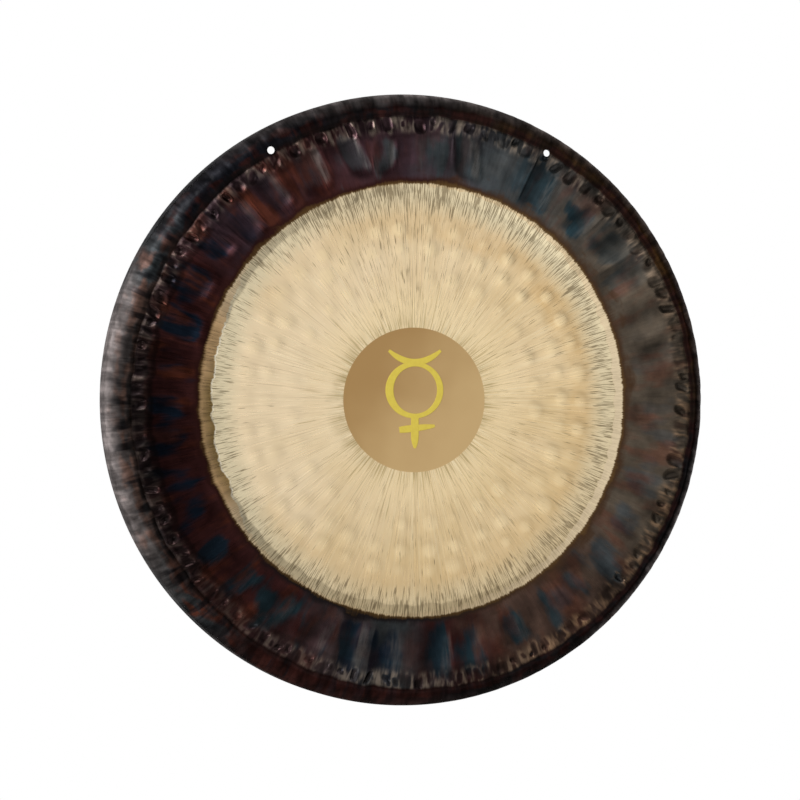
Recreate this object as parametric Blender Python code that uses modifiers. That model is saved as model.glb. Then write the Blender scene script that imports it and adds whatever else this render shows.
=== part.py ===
"""A hanging gong: one round sheet of bronze, hammered to shape, with a turned back rim.

Metres, +Z up. The gong hangs upright and its struck face looks along -Y. The origin is the
centre of that face. From the centre outwards the sheet is a flat painted disc, a bright face
that falls back a little, a bright bevel, a dark collar, a hammered shoulder and a rim that
bends backwards and ends in a plain edge. Two holes drilled high up in the shoulder take the
hanging cord.

Depths are measured backwards from the centre of the face, and radii from the gong's axis.
"""

import math

import bmesh
import bpy

MM = 0.001

# Widths of the zones, from the centre outwards
DISC_RADIUS = 95.5 * MM  # flat painted disc in the middle
FACE_WIDTH = 177.5 * MM  # bright face round the disc
BEVEL_WIDTH = 12.5 * MM  # bright edge of the face, which slopes more
COLLAR_WIDTH = 74.5 * MM  # dark band round the bevel
SHOULDER_WIDTH = 21.0 * MM  # ring of hammer marks
BEND_WIDTH = 25.5 * MM  # where the sheet turns backwards

# How far each zone falls back
FACE_FALL = 3.0 * MM
BEVEL_FALL = 3.0 * MM
COLLAR_FALL = 14.0 * MM
SHOULDER_FALL = 7.0 * MM
BEND_FALL = 25.0 * MM
WALL_DEPTH = 32.0 * MM  # straight wall behind the bend

SHEET = 1.8 * MM  # thickness of the metal

# Holes for the cord, as seen from the front
HOLE_ANGLE = math.radians(29.6)  # to either side of the top
HOLE_INSET = 2.5 * MM  # hole centre inside the shoulder's outer edge
LEFT_HOLE_DIAMETER = 10.0 * MM
RIGHT_HOLE_DIAMETER = 9.0 * MM
DRILL_OVERRUN = 10.0 * MM  # the cutter's reach past the sheet, each way

# How the collar's fall starts nearly level behind the bevel and steepens outwards
COLLAR_STEEPENING = 1.4

# Facets
ROUND_STEPS = 128
FACE_STEPS = 5
COLLAR_STEPS = 3
BEND_STEPS = 6
HOLE_STEPS = 24
SMOOTH_LIMIT = math.radians(25.0)

FACE_RADIUS = DISC_RADIUS + FACE_WIDTH
BEVEL_RADIUS = FACE_RADIUS + BEVEL_WIDTH
COLLAR_RADIUS = BEVEL_RADIUS + COLLAR_WIDTH
SHOULDER_RADIUS = COLLAR_RADIUS + SHOULDER_WIDTH
OUTER_RADIUS = SHOULDER_RADIUS + BEND_WIDTH
BEVEL_DEPTH = FACE_FALL + BEVEL_FALL
COLLAR_DEPTH = BEVEL_DEPTH + COLLAR_FALL
SHOULDER_DEPTH = COLLAR_DEPTH + SHOULDER_FALL
BEND_DEPTH = SHOULDER_DEPTH + BEND_FALL
TOTAL_DEPTH = BEND_DEPTH + WALL_DEPTH


def clear_scene():
    for old in list(bpy.data.objects):
        bpy.data.objects.remove(old, do_unlink=True)


def new_collection(name):
    collection = bpy.data.collections.new(name)
    bpy.context.scene.collection.children.link(collection)
    return collection


def new_material(name, colour, roughness, metallic):
    material = bpy.data.materials.new(name)
    material.use_nodes = True
    shader = material.node_tree.nodes["Principled BSDF"]
    shader.inputs["Base Color"].default_value = (*colour, 1.0)
    shader.inputs["Roughness"].default_value = roughness
    shader.inputs["Metallic"].default_value = metallic
    return material


def face_depth(share):
    """Depth of the bright face at a share of its width: a shallow dome, level at the disc."""
    return FACE_FALL * share**2


def collar_depth(share):
    """Depth of the dark collar at a share of its width."""
    return BEVEL_DEPTH + COLLAR_FALL * share**COLLAR_STEEPENING


def front_profile():
    """(radius, depth) of the outer surface, from the centre to the rim's back edge."""
    points = [(0.0, 0.0), (DISC_RADIUS, 0.0)]
    for step in range(1, FACE_STEPS + 1):
        share = step / FACE_STEPS
        points.append((DISC_RADIUS + FACE_WIDTH * share, face_depth(share)))
    points.append((BEVEL_RADIUS, BEVEL_DEPTH))
    for step in range(1, COLLAR_STEPS + 1):
        share = step / COLLAR_STEPS
        points.append((BEVEL_RADIUS + COLLAR_WIDTH * share, collar_depth(share)))
    points.append((SHOULDER_RADIUS, SHOULDER_DEPTH))
    for step in range(1, BEND_STEPS + 1):
        turn = math.pi / 2 * step / BEND_STEPS
        radius = SHOULDER_RADIUS + BEND_WIDTH * math.sin(turn)
        depth = SHOULDER_DEPTH + BEND_FALL * (1.0 - math.cos(turn))
        points.append((radius, depth))
    points.append((OUTER_RADIUS, TOTAL_DEPTH))
    return points


def profile_mesh(name, points):
    """A line of edges in the XZ plane, with the depth running down from Z = 0."""
    mesh = bpy.data.meshes.new(name)
    shape = bmesh.new()
    corners = [shape.verts.new((radius, 0.0, -depth)) for radius, depth in points]
    for start, end in zip(corners, corners[1:]):
        shape.edges.new((start, end))
    shape.to_mesh(mesh)
    shape.free()
    return mesh


def turned_sheet(name, points, collection):
    """The profile turned once round Z and given the sheet's thickness on its inner side."""
    outline = bpy.data.objects.new(name + "_outline", profile_mesh(name, points))
    collection.objects.link(outline)

    screw = outline.modifiers.new("turn", "SCREW")
    screw.axis = "Z"
    screw.angle = math.tau
    screw.steps = ROUND_STEPS
    screw.render_steps = ROUND_STEPS
    screw.use_merge_vertices = True
    screw.merge_threshold = 0.00001

    wall = outline.modifiers.new("sheet", "SOLIDIFY")
    wall.thickness = SHEET
    wall.offset = -1.0
    wall.use_even_offset = True
    wall.use_quality_normals = True

    bpy.context.view_layer.update()
    graph = bpy.context.evaluated_depsgraph_get()
    mesh = bpy.data.meshes.new_from_object(outline.evaluated_get(graph))
    bpy.data.objects.remove(outline, do_unlink=True)

    mesh.name = name
    sheet = bpy.data.objects.new(name, mesh)
    collection.objects.link(sheet)
    return sheet


def paint_zones(sheet):
    """Gives the front its three finishes by radius, and the back the dark one."""
    mesh = sheet.data
    finishes = (
        new_material("hammered_dark_bronze", (0.035, 0.022, 0.020), 0.38, 1.0),
        new_material("scraped_bright_bronze", (0.69, 0.54, 0.32), 0.32, 1.0),
        new_material("tan_lacquer", (0.43, 0.28, 0.12), 0.45, 0.0),
    )
    for finish in finishes:
        mesh.materials.append(finish)
    dark, bright, tan = range(3)
    for polygon in mesh.polygons:
        radius = math.hypot(polygon.center.x, polygon.center.y)
        zone = dark
        if polygon.normal.z > 0.0 and radius < BEVEL_RADIUS:
            zone = tan if radius < DISC_RADIUS else bright
        polygon.material_index = zone


def hole_cutter(name, side, diameter, collection):
    """A straight drill along the gong's axis, through the shoulder at one side of the top."""
    distance = SHOULDER_RADIUS - HOLE_INSET
    reach = SHEET + SHOULDER_FALL + DRILL_OVERRUN
    mesh = bpy.data.meshes.new(name)
    shape = bmesh.new()
    bmesh.ops.create_cone(
        shape,
        cap_ends=True,
        segments=HOLE_STEPS,
        radius1=diameter / 2,
        radius2=diameter / 2,
        depth=2 * reach,
    )
    shape.to_mesh(mesh)
    shape.free()
    cutter = bpy.data.objects.new(name, mesh)
    cutter.location = (
        side * distance * math.sin(HOLE_ANGLE),
        SHOULDER_DEPTH,
        distance * math.cos(HOLE_ANGLE),
    )
    cutter.rotation_euler = (math.pi / 2, 0.0, 0.0)
    cutter.hide_render = True
    cutter.display_type = "WIRE"
    collection.objects.link(cutter)
    return cutter


def drill(sheet, cutter):
    cut = sheet.modifiers.new(cutter.name, "BOOLEAN")
    cut.operation = "DIFFERENCE"
    cut.solver = "EXACT"
    cut.object = cutter


def build():
    clear_scene()
    parts = new_collection("gong")
    cutters = new_collection("gong_cutters")

    plate = turned_sheet("gong_plate", front_profile(), parts)
    paint_zones(plate)
    plate.data.shade_smooth()
    plate.data.set_sharp_from_angle(angle=SMOOTH_LIMIT)
    # The profile was turned face up, so a quarter turn stands the gong upright
    plate.rotation_euler = (math.pi / 2, 0.0, 0.0)

    drill(plate, hole_cutter("left_hole", -1, LEFT_HOLE_DIAMETER, cutters))
    drill(plate, hole_cutter("right_hole", 1, RIGHT_HOLE_DIAMETER, cutters))


build()
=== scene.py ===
"""Looks of a hanging gong: one sheet of bronze, turned, hammered, fired and scraped.

The plate starts as a flat round blank that is bent over the gong's section and then hammered.
Its face is scraped bright, the collar, rim and back keep the dark colours of the fire, and the
centre has a disc of tan lacquer with a painted planetary sign. Metres; the struck face looks
along -Y, +Z is up, and clock angles run clockwise from the top as seen from the front.
"""

import logging
import math
from dataclasses import dataclass, field, fields
from enum import Enum
from functools import partial
from typing import Any

import bmesh
import bpy
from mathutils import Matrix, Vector


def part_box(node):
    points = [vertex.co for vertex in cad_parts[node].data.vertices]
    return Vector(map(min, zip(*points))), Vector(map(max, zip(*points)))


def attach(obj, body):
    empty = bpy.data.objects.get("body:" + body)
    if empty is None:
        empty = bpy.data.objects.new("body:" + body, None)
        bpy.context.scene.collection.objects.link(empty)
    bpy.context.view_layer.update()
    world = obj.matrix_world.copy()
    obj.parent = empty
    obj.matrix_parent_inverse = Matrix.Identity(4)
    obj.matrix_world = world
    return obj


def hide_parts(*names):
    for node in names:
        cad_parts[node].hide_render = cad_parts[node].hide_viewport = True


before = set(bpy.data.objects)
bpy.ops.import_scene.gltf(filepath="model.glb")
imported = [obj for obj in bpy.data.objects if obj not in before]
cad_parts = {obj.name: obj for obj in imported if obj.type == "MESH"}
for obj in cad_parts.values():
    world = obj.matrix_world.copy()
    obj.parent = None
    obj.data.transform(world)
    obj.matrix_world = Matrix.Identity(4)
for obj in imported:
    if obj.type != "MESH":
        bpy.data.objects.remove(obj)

MM = 0.001
LOG = logging.getLogger("gong")

Colour = tuple[float, float, float, float]
Socket = bpy.types.NodeSocket


class Math(Enum):
    """What a math node works out, with Blender's word for it."""

    PLUS = "ADD"
    MINUS = "SUBTRACT"
    TIMES = "MULTIPLY"
    OVER = "DIVIDE"
    TIMES_PLUS = "MULTIPLY_ADD"
    POWER = "POWER"
    SIZE = "ABSOLUTE"
    FLOOR = "FLOOR"
    FRACTION = "FRACT"
    SINE = "SINE"
    COSINE = "COSINE"
    ANGLE = "ARCTAN2"
    ARCCOSINE = "ARCCOSINE"
    LARGER = "MAXIMUM"
    SMALLER = "MINIMUM"
    BELOW = "LESS_THAN"
    ABOVE = "GREATER_THAN"


class Node(Enum):
    """Kinds of node: Blender's name, the output wanted, where values go in order, and settings."""

    MATH = "ShaderNodeMath"
    RANGE = "ShaderNodeMapRange"
    SMOOTH = "ShaderNodeMapRange", 0, (0, 1, 2, 3, 4), {"interpolation_type": "SMOOTHSTEP"}
    MIX = "ShaderNodeMix", 0, (0, 2, 3)
    BLEND = "ShaderNodeMix", 2, (0, 6, 7), {"data_type": "RGBA"}
    SHADE = "ShaderNodeMix", 2, (0, 6, 7), {"data_type": "RGBA", "blend_type": "MULTIPLY"}
    NOISE = "ShaderNodeTexNoise", 0, ("Vector", "Scale", "Detail")
    CELLS = "ShaderNodeTexVoronoi", "Distance", ("Vector", "Scale", "Smoothness"), {"feature": "SMOOTH_F1"}
    RAMP = "ShaderNodeValToRGB"
    POINT = "ShaderNodeTexCoord", "Object"
    WAY = "ShaderNodeTexCoord", "Generated"
    SPLIT = "ShaderNodeSeparateXYZ"
    JOIN = "ShaderNodeCombineXYZ"
    SCALED = "ShaderNodeVectorMath", 0, (0, "Scale"), {"operation": "SCALE"}
    MOVED = "ShaderNodeVectorMath", 0, (0, 1), {"operation": "ADD"}
    FLAT = "ShaderNodeVectorMath", 0, (0, 1), {"operation": "MULTIPLY"}
    OF_LENGTH_1 = "ShaderNodeVectorMath", 0, (0,), {"operation": "NORMALIZE"}
    LENGTH = "ShaderNodeVectorMath", "Value", (0,), {"operation": "LENGTH"}
    DOT = "ShaderNodeVectorMath", "Value", (0, 1), {"operation": "DOT_PRODUCT"}
    LAYER = "ShaderNodeAttribute", "Fac"
    BUMP = "ShaderNodeBump", 0, ("Strength", "Distance", "Height")
    RAYS = "ShaderNodeLightPath"
    FACING = "ShaderNodeNewGeometry", "Backfacing"
    GROUP = "GeometryNodeGroup"
    RANDOM = "FunctionNodeRandomValue", 1, (2, 3, "ID", "Seed"), {"data_type": "FLOAT"}
    READ = "GeometryNodeInputNamedAttribute", 0, (0,), {"data_type": "FLOAT"}
    STORE = "GeometryNodeStoreNamedAttribute", 0, (0, "Name", "Value"), {"data_type": "FLOAT"}
    PLACE = "GeometryNodeSetPosition", 0, (0, "Position")
    PAINT = "GeometryNodeSetMaterial", 0, (0, "Material", "Selection")
    REALIZE = "GeometryNodeRealizeInstances"
    OBJECT = "GeometryNodeObjectInfo", "Geometry", ("Object",)
    ALONG = (
        "GeometryNodeSampleCurve",
        "Position",
        ("Curves", "Length"),
        {"mode": "LENGTH", "use_all_curves": True},
    )
    CIRCLE = "GeometryNodeCurvePrimitiveCircle", 0, ("Resolution", "Radius")
    TUBE = "GeometryNodeCurveToMesh", 0, (0, 1, "Scale", "Fill Caps")
    WIDTH = "GeometryNodeInputRadius"
    POSITION = "GeometryNodeInputPosition"

    def __init__(
        self,
        title: str,
        output: int | str = 0,
        places: tuple[int | str, ...] = (0, 1, 2, 3, 4),
        settings: dict[str, Any] | None = None,
    ) -> None:
        """Keeps what the member says under plain names."""
        self.title, self.output, self.places, self.settings = title, output, places, settings or {}


def linear(text: str) -> Colour:
    """Turns an sRGB hex colour into linear light.

    Args:
        text: The colour as six hex digits.

    Returns:
        Red, green, blue and an alpha of 1.
    """
    shares = [int(text[at : at + 2], 16) / 255.0 for at in (0, 2, 4)]
    light = [s / 12.92 if s <= 0.04045 else ((s + 0.055) / 1.055) ** 2.4 for s in shares]
    return (*light, 1.0)


def fill(tree: bpy.types.NodeTree, inputs: Any, values: dict[int | str, Any]) -> None:
    """Fills or links a node's inputs by name or number. None leaves one alone."""
    for place, value in values.items():
        if isinstance(value, Socket):
            tree.links.new(value, inputs[place])
        elif value is not None:
            inputs[place].default_value = value


def add_node(
    tree: bpy.types.NodeTree,
    kind: Node | Math,
    *values: Any,
    named: dict[str, Any] | None = None,
    output: int | str | None = None,
    **settings: Any,
) -> Socket:
    """Adds a node, sets its properties and fills or links its inputs.

    Args:
        tree: The node tree.
        kind: The kind of node, or what a math node works out.
        values: Values or sockets for the kind's inputs, in order.
        named: Values or sockets for further inputs, by name.
        output: Which output is wanted, if it isn't the kind's own.
        settings: Further properties of the node.

    Returns:
        That output socket. Its node is the socket's own node.
    """
    if isinstance(kind, Math):
        kind, settings = Node.MATH, {"operation": kind.value}
    node = tree.nodes.new(kind.title)
    for name, value in (kind.settings | settings).items():
        setattr(node, name, value)
    fill(tree, node.inputs, dict(zip(kind.places, values)) | (named or {}))
    return node.outputs[kind.output if output is None else output]


def geometry_tree(
    name: str, inputs: dict[str, Any], outputs: dict[str, str]
) -> tuple[bpy.types.NodeTree, dict[str, str], Any, Any]:
    """Starts a Geometry Nodes tree with named inputs and outputs.

    Args:
        name: The tree's name.
        inputs: Each input's name with its number, or with its kind of socket.
        outputs: Each output's name with its kind of socket.

    Returns:
        The tree, its inputs' identifiers by name, the inputs inside it, and the outputs inside it.
    """
    tree = bpy.data.node_groups.new(name, "GeometryNodeTree")
    numbers = {int: "Int", float: "Float"}
    identifiers = {}
    for title, value in inputs.items():
        kind = numbers.get(type(value), value)
        made = tree.interface.new_socket(title, in_out="INPUT", socket_type=f"NodeSocket{kind}")
        identifiers[title] = made.identifier
        if type(value) in numbers:
            made.default_value = value
    for title, kind in outputs.items():
        tree.interface.new_socket(title, in_out="OUTPUT", socket_type=f"NodeSocket{kind}")
    given = tree.nodes.new("NodeGroupInput").outputs
    return tree, identifiers, given, tree.nodes.new("NodeGroupOutput").inputs


def sizes_of(owner: Any) -> dict[str, float]:
    """Gives the numbers in an object's fields by name, with the names as plain words."""
    numbers = [item.name for item in fields(owner) if item.type in (int, float)]
    return {name.replace("_", " "): getattr(owner, name) for name in numbers}


def spaced(start: float, end: float, spacing: float) -> list[float]:
    """Splits a stretch into equal steps near a wanted spacing.

    Args:
        start: Where the stretch begins, which is left out of the result.
        end: Where it ends, which is in the result.
        spacing: The wanted step.

    Returns:
        The places after the start.
    """
    count = max(1, round(abs(end - start) / spacing))
    return [start + (end - start) * step / count for step in range(1, count + 1)]


def evaluated_mesh(obj: bpy.types.Object) -> bpy.types.Mesh:
    """Turns an object's evaluated state into a plain mesh."""
    bpy.context.view_layer.update()
    graph = bpy.context.evaluated_depsgraph_get()
    return bpy.data.meshes.new_from_object(obj.evaluated_get(graph), depsgraph=graph)


def new_object(name: str, data: bpy.types.ID) -> bpy.types.Object:
    """Makes an object for a mesh, curve, light or camera and links it to the scene."""
    made = bpy.data.objects.new(name, data)
    bpy.context.scene.collection.objects.link(made)
    return made


def shape_object(name: str, shape: bmesh.types.BMesh) -> bpy.types.Object:
    """Makes an object of a finished shape, and frees the shape."""
    mesh = bpy.data.meshes.new(name)
    shape.to_mesh(mesh)
    shape.free()
    return new_object(name, mesh)


def line_object(
    name: str, points: list[tuple[float, float, float, float]], closed: bool = False
) -> bpy.types.Object:
    """Draws a line through points.

    Args:
        name: The line's name.
        points: Each point's x, y and z, and the line's half width there.
        closed: Whether its ends meet.

    Returns:
        The line, a curve.
    """
    curve = bpy.data.curves.new(name, "CURVE")
    curve.dimensions = "3D"
    line = curve.splines.new("POLY")
    line.use_cyclic_u = closed
    line.points.add(len(points) - 1)
    for point, (x, y, z, width) in zip(line.points, points):
        point.co = (x, y, z, 1.0)
        point.radius = width
    return new_object(name, curve)


def replace_by_result(obj: bpy.types.Object) -> None:
    """Gives an object the mesh that its modifiers make, and takes the modifiers off."""
    mesh = evaluated_mesh(obj)
    old = obj.data
    obj.modifiers.clear()
    obj.data = mesh
    bpy.data.meshes.remove(old)


def combine(obj: bpy.types.Object, others: list[bpy.types.Object], operation: str, solver: str) -> None:
    """Cuts other objects out of one, or joins them to it, and removes them.

    Args:
        obj: The object that stays.
        others: The objects that go.
        operation: What the Boolean modifiers do.
        solver: How they do it.
    """
    for other in others:
        step = obj.modifiers.new(other.name, "BOOLEAN")
        step.operation, step.solver, step.object = operation, solver, other
    replace_by_result(obj)
    for other in others:
        bpy.data.meshes.remove(other.data)


@dataclass(frozen=True)
class Ring:
    """One ring of the section's points: where it lies, its steps round and its side."""

    radius: float
    depth: float
    steps: int
    side: float = 0.0  # 0 on the front, 1 behind the rim's edge


@dataclass(frozen=True)
class GongSection:
    """The gong's section: radii from the axis and depths behind the centre of the face."""

    outer_radius: float
    total_depth: float
    disc_radius: float = 95.5 * MM
    face_radius: float = 273.0 * MM
    bevel_radius: float = 285.5 * MM
    collar_radius: float = 360.0 * MM
    shoulder_radius: float = 381.0 * MM
    disc_depth: float = 0.3 * MM  # leaves room for the paint in front of the disc
    face_depth: float = 3.0 * MM
    bevel_depth: float = 6.0 * MM
    collar_depth: float = 20.0 * MM
    shoulder_depth: float = 27.0 * MM
    bend_depth: float = 52.0 * MM
    collar_steepening: float = 1.4
    sheet: float = 1.8 * MM
    edge_round: float = 0.4 * MM  # the rim's plain edge is filed just round
    corner_softness: float = 1.2 * MM  # how far a change of slope is spread either way

    def raw_depth(self, radius: float) -> float:
        """Depth of the front at a radius inside the shoulder, with plain corners."""
        start, top = 0.0, self.disc_depth
        for end, foot, power in (
            (self.disc_radius, self.disc_depth, 1.0),
            (self.face_radius, self.face_depth, 2.0),
            (self.bevel_radius, self.bevel_depth, 1.0),
            (self.collar_radius, self.collar_depth, self.collar_steepening),
            (self.shoulder_radius, self.shoulder_depth, 1.0),
        ):
            if radius <= end:
                return top + (foot - top) * max(0.0, (radius - start) / (end - start)) ** power
            start, top = end, foot
        return top

    def front_depth(self, radius: float) -> float:
        """Depth of the front with its corners worked soft."""
        if radius <= self.disc_radius:
            return self.disc_depth
        reach = self.corner_softness
        samples = [self.raw_depth(radius + reach * part) for part in (-1.0, -0.5, 0.0, 0.5, 1.0)]
        return sum(samples) / len(samples)

    def front_radii(self) -> list[tuple[float, int]]:
        """Radii of the rings on the front inside the shoulder, with their steps round."""
        rings = [(30.0 * MM, 120), (60.0 * MM, 240), (self.disc_radius, 480)]
        for end, spacing, steps in (
            (147.0 * MM, 9.0 * MM, 480),
            (245.0 * MM, 5.0 * MM, 480),
            (269.0 * MM, 6.0 * MM, 960),
            (277.0 * MM, 1.6 * MM, 960),
            (self.bevel_radius, 4.3 * MM, 960),
            (352.0 * MM, 6.0 * MM, 960),
            (self.shoulder_radius, 2.4 * MM, 1920),
        ):
            rings += [(radius, steps) for radius in spaced(rings[-1][0], end, spacing)]
        return rings

    def back_radii(self) -> list[tuple[float, int]]:
        """Radii of the rings on the back inside the shoulder, with their steps round."""
        rings = [(self.shoulder_radius, 960)]
        for end, spacing, steps in (
            (345.0 * MM, 6.0 * MM, 960),
            (self.bevel_radius, 10.0 * MM, 480),
            (self.disc_radius, 12.0 * MM, 480),
            (60.0 * MM, 36.0 * MM, 240),
            (30.0 * MM, 30.0 * MM, 120),
        ):
            rings += [(radius, steps) for radius in spaced(rings[-1][0], end, spacing)]
        return rings

    def bend(self, inset: float, turns: list[float], steps: int, side: float) -> list[Ring]:
        """Rings along the quarter turn of the rim.

        Args:
            inset: How far inside the outer surface they lie.
            turns: How far round the bend each lies, in radians.
            steps: Their steps round.
            side: The side they belong to.

        Returns:
            The rings.
        """
        width = self.outer_radius - self.shoulder_radius - inset
        fall = self.bend_depth - self.shoulder_depth - inset
        rings = []
        for turn in turns:
            radius = self.shoulder_radius + width * math.sin(turn)
            depth = self.shoulder_depth + inset + fall * (1.0 - math.cos(turn))
            rings.append(Ring(radius, depth, steps, side))
        return rings

    def rings(self) -> list[Ring]:
        """All rings, from the centre of the front over the rim to the centre of the back."""
        front = [Ring(0.0, self.disc_depth, 1)]
        front += [Ring(r, self.front_depth(r), steps) for r, steps in self.front_radii()]
        front += self.bend(0.0, spaced(0.0, 0.2, 0.1), 1920, 0.0)
        front += self.bend(0.0, spaced(0.2, math.pi / 2, 0.16), 960, 0.0)
        edge = self.total_depth
        file = self.edge_round
        inner = self.outer_radius - self.sheet
        wall = spaced(self.bend_depth, edge - file, 8.0 * MM)
        front += [Ring(self.outer_radius, depth, 960) for depth in wall]
        front.append(Ring(self.outer_radius - file, edge, 960))
        back = [Ring(inner + file, edge, 960, 1.0), Ring(inner, edge - file, 960, 1.0)]
        wall = spaced(edge - file, self.bend_depth, 16.0 * MM)
        back += [Ring(inner, depth, 960, 1.0) for depth in wall]
        back += self.bend(self.sheet, spaced(math.pi / 2, 0.0, 0.39)[:-1], 960, 1.0)
        for radius, steps in self.back_radii():
            back.append(Ring(radius, self.front_depth(radius) + self.sheet, steps, 1.0))
        back.append(Ring(0.0, self.disc_depth + self.sheet, 1, 1.0))
        return front + back


@dataclass(frozen=True)
class MarkRing:
    """One ring of hammer marks of one kind, each in its own cell of the circle."""

    name: str
    count: int
    inner: float  # radii between which a mark's middle line runs
    outer: float
    half_width: float
    depth: float
    softness: float = 1.0  # 1 leaves a crisp edge, 2 a soft one
    width_spread: float = 0.25  # shares of the half width
    drift: float = 0.12  # share of the cell
    length_spread: float = 0.0
    lean: float = 0.0  # sideways per length
    weakest: float = 0.5  # the lightest blow's share of the depth
    corners: float = 2.0  # 2 gives round ends, more gives squarer ones
    seed: int = 1


@dataclass
class HammerWork:
    """All hammer marks, and the node tree that bends and hammers the blank."""

    dimples: tuple[MarkRing, ...] = (
        MarkRing("outer dimples", 38, 226 * MM, 226 * MM, 16 * MM, 1.8 * MM, 1.5, 0.2, seed=11),
        MarkRing("middle dimples", 34, 200 * MM, 200 * MM, 15 * MM, 1.7 * MM, 1.5, 0.2, seed=21),
        MarkRing("inner dimples", 28, 165 * MM, 165 * MM, 15 * MM, 1.4 * MM, 1.5, 0.2, seed=31),
    )
    flutes: tuple[MarkRing, ...] = (
        MarkRing(
            "flutes", 38, 316 * MM, 352 * MM, 25 * MM, 5.6 * MM, 1.9, 0.22, 0.22, 12 * MM, 0.3, 0.4, 2.4, 41
        ),
        MarkRing(
            "cross flutes", 29, 325 * MM, 338 * MM, 19 * MM, 1.0 * MM, 1.5, 0.3, 0.2, 6 * MM, 0.2, 0.1,
            seed=51,
        ),
    )
    hollows: tuple[MarkRing, ...] = (
        MarkRing(
            "hollows", 104, 363 * MM, 376 * MM, 6.2 * MM, 3.8 * MM, 1.1, 0.4, 0.25, 10 * MM, 0.5, 0.1, 2.4, 61
        ),
        MarkRing(
            "small marks", 131, 361 * MM, 377 * MM, 4.0 * MM, 0.4 * MM, 1.2, 0.4, 0.3, 8 * MM, 0.5, 0.1,
            seed=71,
        ),
    )
    crease_across: float = 5.5 * MM  # how far off the axis the rim's crease was hammered
    crease_up: float = -3.5 * MM
    crease_depth: float = 1.1 * MM
    crease_half_width: float = 3.6 * MM
    crease_wander: float = 8.0 * MM
    crease_bends: float = 13.0  # bends of the wandering per unit of the round
    scallops: int = 46  # hammered waves along the bevel's inner border
    scallop_height: float = 4.0 * MM
    dimple_side: float = math.radians(60.0)  # clock angle at which the dimples are deepest
    flute_side: float = math.radians(340.0)
    dent_size: float = 13.0 * MM  # hammer dents in the bend
    dent_depth: float = 3.0 * MM
    chatter_size: float = 9.0 * MM  # small uneven dents all over the ring of hollows
    chatter_depth: float = 0.5 * MM
    waviness: float = 0.9 * MM
    wave_length: float = 60.0 * MM

    def mark_group(self) -> bpy.types.NodeTree:
        """Builds the node group that gives one ring of marks as a height of 0 to 1.

        Its second output is that height with a sign: above 0 on a mark's clockwise side.
        """
        inputs = {"turn": 0.0, "radius": 0.0} | sizes_of(self.dimples[0])
        inputs.pop("depth")
        heights = {"height": "Float", "clockwise": "Float"}
        tree, _, given, result = geometry_tree("hammer_mark", inputs, heights)
        add = partial(add_node, tree)
        radius, count = given["radius"], given["count"]
        phase = add(Math.TIMES, add(Math.OVER, given["turn"], math.tau), count)
        cell = add(Math.FLOOR, phase)
        place = add(Math.FRACTION, phase)
        pitch = add(Math.OVER, add(Math.TIMES, radius, math.tau), count)

        # Each mark draws its own numbers, which are the same all over its cell
        chances = {}
        lowest = {"drift": -1.0, "lean": -1.0, "start": 0.0, "stop": 0.0, "width": -1.0, "blow": 0.0}
        for offset, (name, low) in enumerate(lowest.items()):
            seed = add(Math.PLUS, given["seed"], float(offset))
            chances[name] = add(Node.RANDOM, low, 1.0, cell, seed)

        drift = add(Math.TIMES_PLUS, chances["drift"], given["drift"], 0.5)
        across = add(Math.TIMES, add(Math.MINUS, place, drift), pitch)
        middle = add(Math.TIMES, add(Math.PLUS, given["inner"], given["outer"]), 0.5)
        lean = add(Math.TIMES, chances["lean"], given["lean"])
        across = add(Math.TIMES_PLUS, add(Math.MINUS, radius, middle), lean, across)
        start = add(Math.TIMES_PLUS, chances["start"], given["length spread"], given["inner"])
        cut = add(Math.TIMES, chances["stop"], given["length spread"])
        nearest = add(Math.LARGER, radius, start)
        nearest = add(Math.SMALLER, nearest, add(Math.MINUS, given["outer"], cut))
        along = add(Math.MINUS, radius, nearest)
        half = add(Math.TIMES_PLUS, chances["width"], given["width spread"], 1.0)
        half = add(Math.TIMES, half, given["half width"])
        across = add(Math.OVER, across, half)
        off = 0.0
        for part in (across, add(Math.OVER, along, half)):
            off = add(Math.PLUS, add(Math.POWER, add(Math.SIZE, part), given["corners"]), off)
        bowl = add(Math.LARGER, add(Math.MINUS, 1.0, off), 0.0)
        bowl = add(Math.POWER, bowl, given["softness"])
        blow = add(Node.RANGE, chances["blow"], 0.0, 1.0, given["weakest"], 1.0)
        height = add(Math.TIMES, bowl, blow)
        fill(tree, result, {"height": height, "clockwise": add(Math.TIMES, height, across)})
        return tree

    def tree(self, section: GongSection) -> tuple[bpy.types.NodeTree, dict[str, str]]:
        """Builds the tree that bends the blank over the section and hammers it.

        Args:
            section: The gong's section.

        Returns:
            The tree, and the identifier of each of its inputs by name. Sizes are filled in.
        """
        inputs = {"Geometry": "Geometry", "section line": "Object"}
        inputs |= {f"{side} finish": "Material" for side in ("front", "lacquer", "back")}
        inputs |= sizes_of(self)
        for zone in ("disc", "face", "bevel", "collar", "shoulder"):
            inputs[f"{zone} radius"] = getattr(section, f"{zone}_radius")
        inputs["wall radius"] = section.outer_radius - 2.0 * section.sheet
        inputs["shoulder depth"] = section.shoulder_depth
        inputs["bend depth"] = section.bend_depth
        for ring in self.dimples + self.flutes + self.hollows:
            inputs |= {f"{ring.name} {name}": size for name, size in sizes_of(ring).items()}
        whole = {"Geometry": "Geometry"}
        tree, identifiers, given, result = geometry_tree("hammered_plate", inputs, whole)
        add = partial(add_node, tree)

        # The blank is bent over the section: a point's reach along the sheet gives its place
        reach, turn, side = (add(Node.READ, name) for name in ("reach", "turn", "side"))
        bent = add(Node.ALONG, add(Node.OBJECT, given["section line"]), reach)
        plain = add(Node.SPLIT, bent, output="X")
        depth = add(Node.SPLIT, bent, output="Y")
        sine = add(Math.SINE, turn)
        cosine = add(Math.COSINE, turn)

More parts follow.
